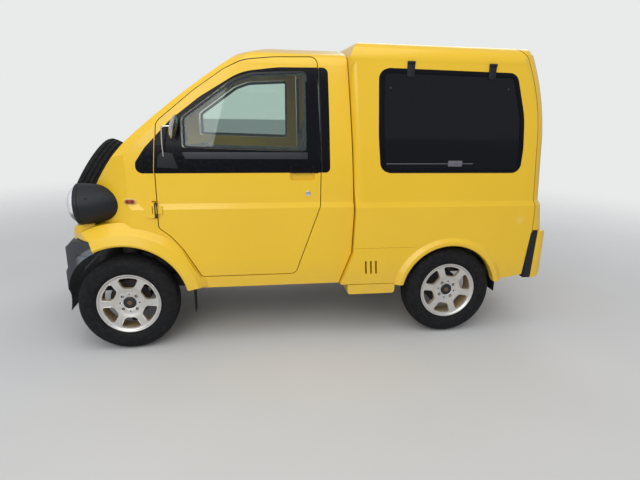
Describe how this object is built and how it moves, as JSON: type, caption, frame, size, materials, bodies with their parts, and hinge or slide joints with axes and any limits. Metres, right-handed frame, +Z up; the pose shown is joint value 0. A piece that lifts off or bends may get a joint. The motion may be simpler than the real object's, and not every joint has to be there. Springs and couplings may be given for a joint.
{
  "type": "microcar van",
  "caption": "Small two-seat van with a narrow cab, a separate cargo box, pod headlamps, a nose-mounted spare wheel, opening doors and tailgate, and steered front wheels.",
  "frame": {"origin": "on the ground, at the middle of the length and width", "axes": "+X to the front of the vehicle, +Y to its left, +Z up"},
  "size_m": [2.878, 1.488, 1.699],
  "materials": {
    "alloy": "satin",
    "amber_lens": "gloss",
    "black_gloss": "gloss",
    "black_plastic": "matte",
    "cast_metal": "matte",
    "chassis_paint": "satin",
    "chrome": "polished",
    "clear_glass": "clear",
    "dark_glass": "dark tint",
    "dash_plastic": "matte",
    "flap_rubber": "matte",
    "lamp_glass": "clear",
    "red_lens": "gloss",
    "seat_cloth": "woven",
    "silver_steel": "satin",
    "steel": "satin",
    "tyre_rubber": "matte",
    "yellow_paint": "gloss"
  },
  "bodies": {
    "body": {"box_windows": "dark_glass", "cab_shell": "yellow_paint", "cargo_box": "yellow_paint", "chassis_frame": "chassis_paint", "dashboard": "dash_plastic", "engine_block": "cast_metal", "exhaust": "steel", "front_bumper": "black_plastic", "front_suspension": "chassis_paint", "front_wings": "yellow_paint", "headlamp_lenses": "lamp_glass", "headlamp_pods": "black_plastic", "mudflaps": "flap_rubber", "pillar_bands": "black_gloss", "rear_axle": "chassis_paint", "rear_bumper": "yellow_paint", "rear_bumper_ends": "black_plastic", "seats": "seat_cloth", "side_markers": "amber_lens", "spare_rim": "silver_steel", "spare_tyre": "tyre_rubber", "steering_wheel": "dash_plastic", "tail_lamps": "red_lens", "window_fittings": "black_plastic", "windscreen": "clear_glass"},
    "door_left": {"door_left": "yellow_paint", "door_glass_left": "clear_glass", "door_band_left": "black_gloss", "mirror_left": "chrome"},
    "door_right": {"door_right": "yellow_paint", "door_glass_right": "clear_glass", "door_band_right": "black_gloss", "mirror_right": "chrome"},
    "tailgate": {"tailgate": "yellow_paint", "tailgate_glass": "dark_glass"},
    "knuckle_left": {"knuckle_left": "cast_metal"},
    "knuckle_right": {"knuckle_right": "cast_metal"},
    "front_left_wheel": {"front_left_tyre": "tyre_rubber", "front_left_rim": "alloy"},
    "front_right_wheel": {"front_right_tyre": "tyre_rubber", "front_right_rim": "alloy"},
    "rear_left_wheel": {"rear_left_tyre": "tyre_rubber", "rear_left_rim": "alloy"},
    "rear_right_wheel": {"rear_right_tyre": "tyre_rubber", "rear_right_rim": "alloy"}
  },
  "joints": [
    {"name": "left_steering", "type": "hinge", "parent": "body", "child": "knuckle_left", "pos_m": [1.01955, 0.462, 0.17], "axis": [0, -0.1414, 0.9899], "range_deg": [-28, 28]},
    {"name": "right_steering", "type": "hinge", "parent": "body", "child": "knuckle_right", "pos_m": [1.01955, -0.462, 0.17], "axis": [0, 0.1414, 0.9899], "range_deg": [-28, 28]},
    {"name": "front_left_wheel_spin", "type": "hinge", "parent": "knuckle_left", "child": "front_left_wheel", "pos_m": [1.01955, 0.555, 0.268], "axis": [0, 1, 0], "continuous": true},
    {"name": "front_right_wheel_spin", "type": "hinge", "parent": "knuckle_right", "child": "front_right_wheel", "pos_m": [1.01955, -0.555, 0.268], "axis": [0, 1, 0], "continuous": true},
    {"name": "rear_left_wheel_spin", "type": "hinge", "parent": "body", "child": "rear_left_wheel", "pos_m": [-0.82045, 0.555, 0.268], "axis": [0, 1, 0], "continuous": true},
    {"name": "rear_right_wheel_spin", "type": "hinge", "parent": "body", "child": "rear_right_wheel", "pos_m": [-0.82045, -0.555, 0.268], "axis": [0, 1, 0], "continuous": true},
    {"name": "left_door_hinge", "type": "hinge", "parent": "body", "child": "door_left", "pos_m": [0.84155, 0.612, 0.8], "axis": [0, 0, 1], "range_deg": [-68, 0]},
    {"name": "right_door_hinge", "type": "hinge", "parent": "body", "child": "door_right", "pos_m": [0.84155, -0.612, 0.8], "axis": [0, 0, 1], "range_deg": [0, 68]},
    {"name": "tailgate_hinge", "type": "hinge", "parent": "body", "child": "tailgate", "pos_m": [-1.10345, 0, 1.692], "axis": [0, 1, 0], "range_deg": [0, 85]}
  ],
  "couplings": [
    {"joint": "right_steering", "follows": "left_steering", "ratio": 1}
  ]
}
